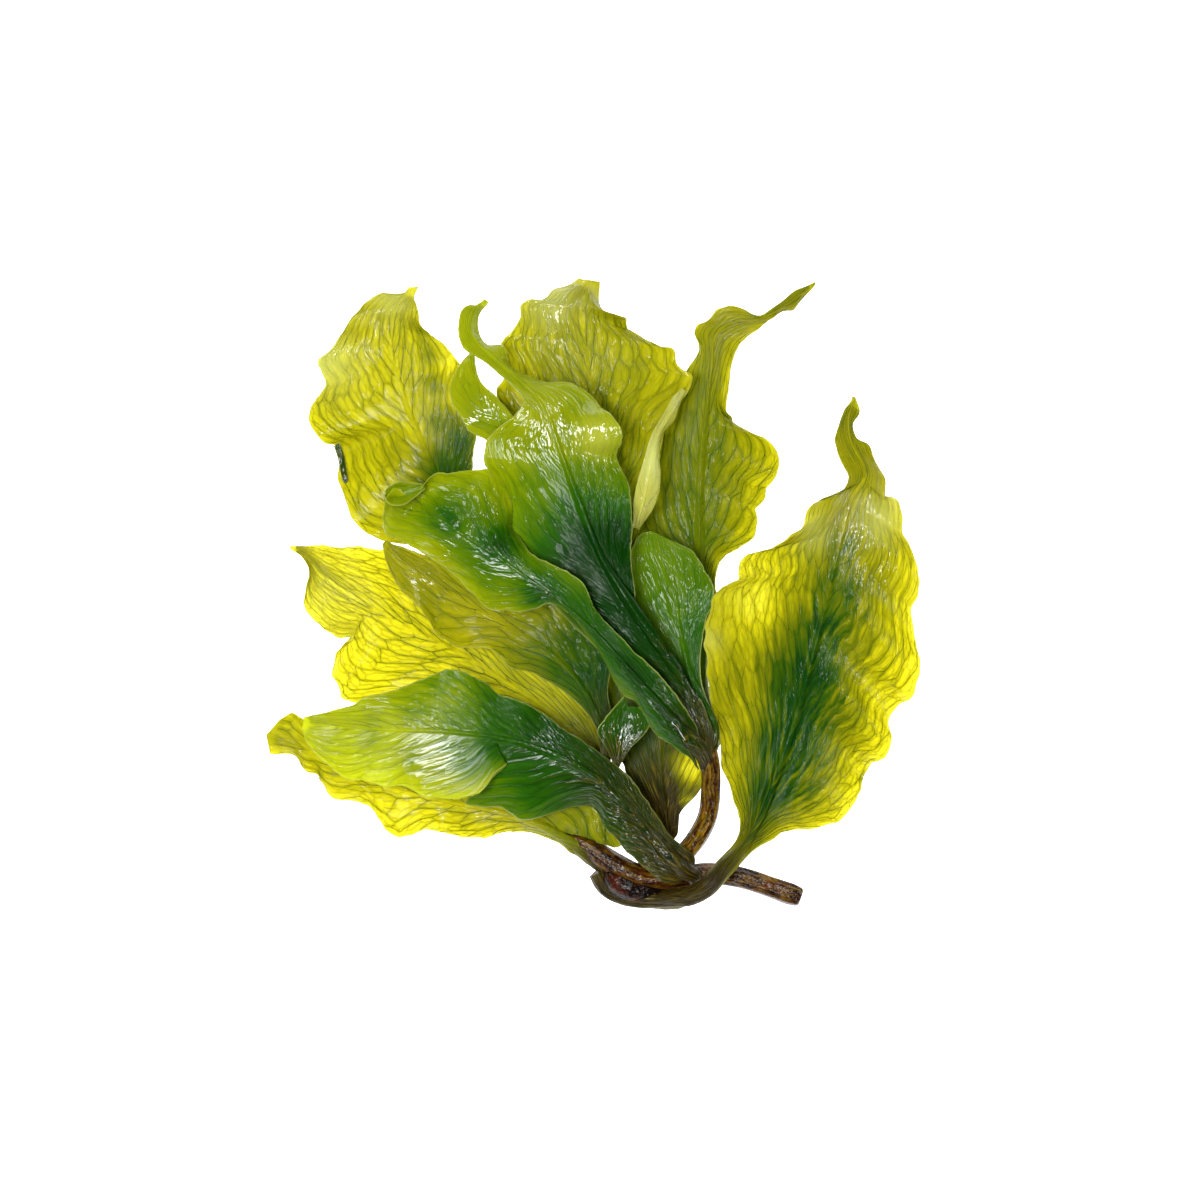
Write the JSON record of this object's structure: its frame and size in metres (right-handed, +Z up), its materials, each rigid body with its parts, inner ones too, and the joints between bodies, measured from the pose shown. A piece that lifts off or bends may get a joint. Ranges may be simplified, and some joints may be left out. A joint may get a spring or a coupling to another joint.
{
  "type": "kelp frond",
  "caption": "Young kelp frond, as cut: ruffled translucent blades on a short branching brown stem, lying on its back.",
  "frame": {"origin": "on the surface that the frond lies on, under the middle of its box", "axes": "+X to the right across the frond, +Y from the cut stem towards the blade tips, +Z up from the surface"},
  "size_m": [0.1962, 0.1899, 0.0344],
  "materials": {
    "stem": "wet brown stem, ridged lengthwise, glossy, reddish-brown at the cut end",
    "blade_yellow": "wet translucent yellow blade with olive veins and a thin pale margin, glossy",
    "blade_right": "wet translucent blade, yellow at the margin and dark green down the middle, glossy",
    "blade_olive": "wet translucent olive blade with dark veins, glossy",
    "blade_dark": "wet dark green blade, lime towards the margin, streaked with gloss"
  },
  "bodies": {
    "root": {"stipe": "stem", "stalk_center": "stem", "stalk_left": "stem", "blade_right": "blade_right", "blade_upper_right": "blade_yellow", "blade_top": "blade_yellow", "blade_center": "blade_dark", "blade_center_left": "blade_dark", "blade_upper_left": "blade_yellow", "blade_left_back": "blade_yellow", "blade_left_inner": "blade_olive", "blade_lower_left_front": "blade_dark", "blade_lower_left_back": "blade_olive", "small_blade_right": "blade_dark", "small_blade_left": "blade_dark", "blade_back": "blade_yellow"}
  },
  "joints": []
}
